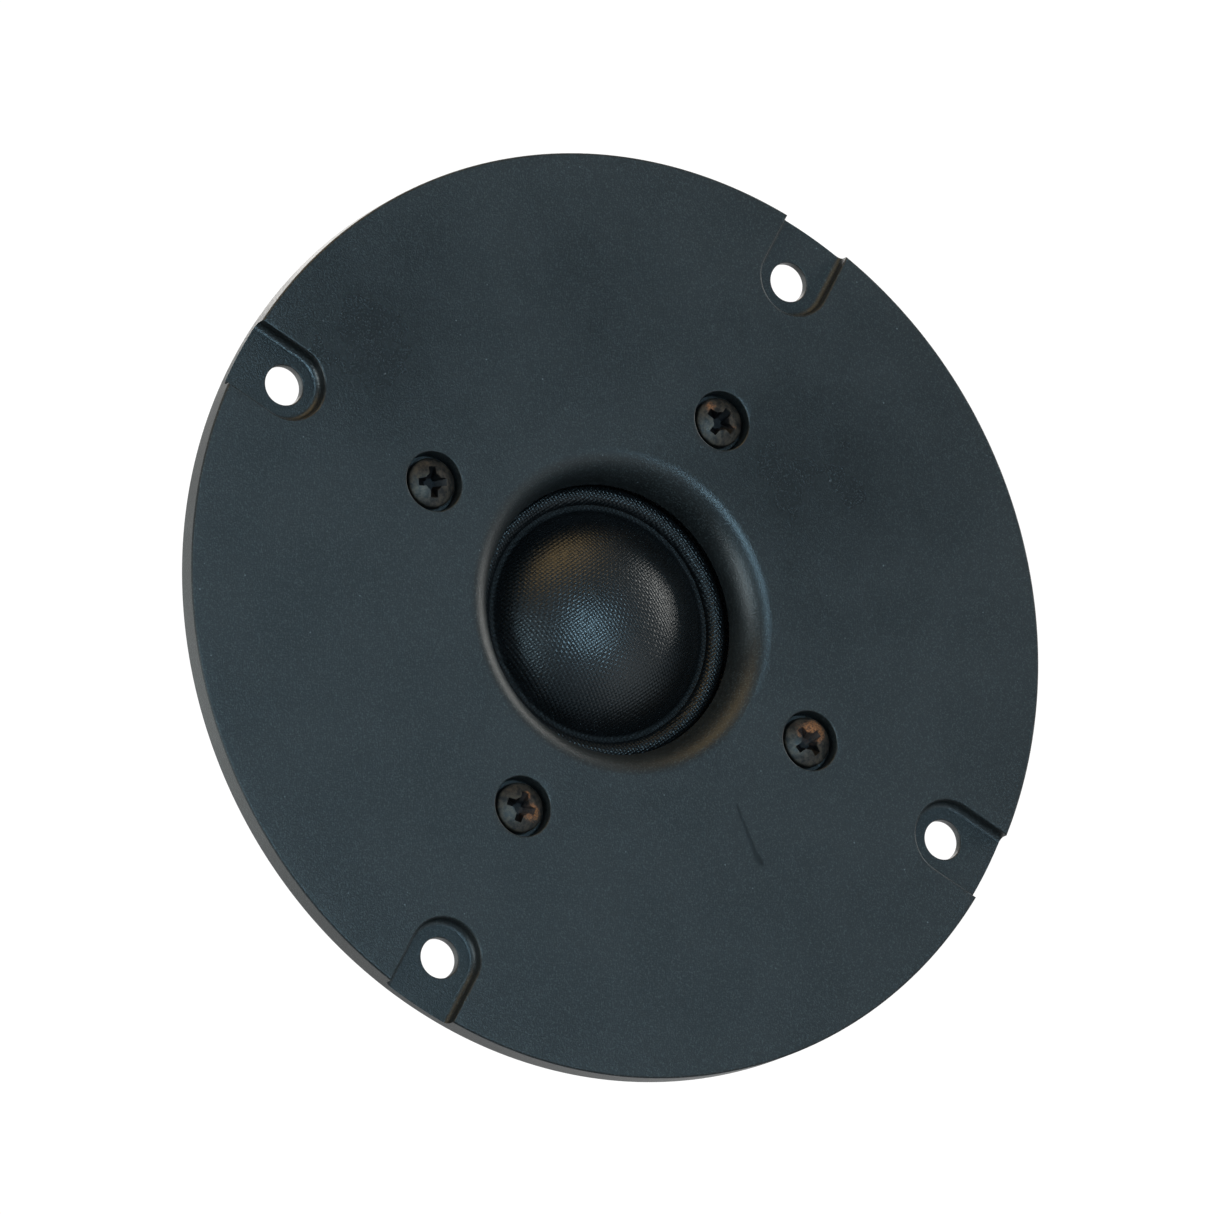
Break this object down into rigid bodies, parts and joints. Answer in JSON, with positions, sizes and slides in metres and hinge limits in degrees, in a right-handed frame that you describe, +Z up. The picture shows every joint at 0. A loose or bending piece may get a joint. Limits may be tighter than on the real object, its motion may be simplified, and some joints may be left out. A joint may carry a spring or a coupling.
{
  "type": "dome tweeter",
  "caption": "Soft-dome tweeter with a round flush-mount faceplate, short horn mouth, open-ended screw pockets, ferrite motor, sealed rear chamber and blade terminals.",
  "frame": {"origin": "centre of the mounting plane, which is the rear face of the faceplate's flange", "axes": "+Y along the driver's axis into the baffle, the dome fires along -Y; +Z up; the baffle screw holes are on the diagonals between X and Z"},
  "size_m": [0.104, 0.046, 0.104],
  "materials": {
    "faceplate": "fine moulded texture, satin",
    "gasket_foam": "closed-cell foam",
    "screw_steel": "black oxide, with rust in the recesses",
    "carrier_plastic": "satin",
    "dome_cloth": "woven and coated, satin",
    "coil_former": "bare foil",
    "copper": "bare copper",
    "glue": "clear amber",
    "zinc_steel": "zinc plated",
    "ferrite": "sintered and ground",
    "felt": "pressed felt",
    "wadding": "loose fibre",
    "chamber_plastic": "fine spark texture",
    "seal_rubber": "smooth",
    "terminal_tin": "tin plated",
    "solder": "satin"
  },
  "bodies": {
    "chassis": {"faceplate": "faceplate", "flange_gasket": "gasket_foam", "faceplate_screws": "screw_steel", "diaphragm_carrier": "carrier_plastic", "surround": "dome_cloth", "top_plate": "zinc_steel", "magnet": "ferrite", "back_plate": "zinc_steel", "pole_piece": "zinc_steel", "copper_cap": "copper", "pole_felt": "felt", "vent_felt_plug": "felt", "rear_chamber": "chamber_plastic", "chamber_seal": "seal_rubber", "chamber_screws": "screw_steel", "chamber_wool": "wadding", "locating_pins": "zinc_steel", "terminal_positive": "terminal_tin", "terminal_negative": "terminal_tin", "terminal_rivets": "terminal_tin", "lead_wire_positive": "copper", "lead_wire_negative": "copper", "solder_joints": "solder"},
    "diaphragm": {"dome": "dome_cloth", "voice_coil_former": "coil_former", "voice_coil_winding": "copper", "coil_adhesive": "glue"}
  },
  "joints": [
    {"name": "dome_travel", "type": "slide", "parent": "chassis", "child": "diaphragm", "axis": [0, -1, 0], "range_m": [-0.0005, 0.0005], "stiffness_N_per_m": 4500, "deforming": ["surround", "lead_wire_positive", "lead_wire_negative"]}
  ]
}
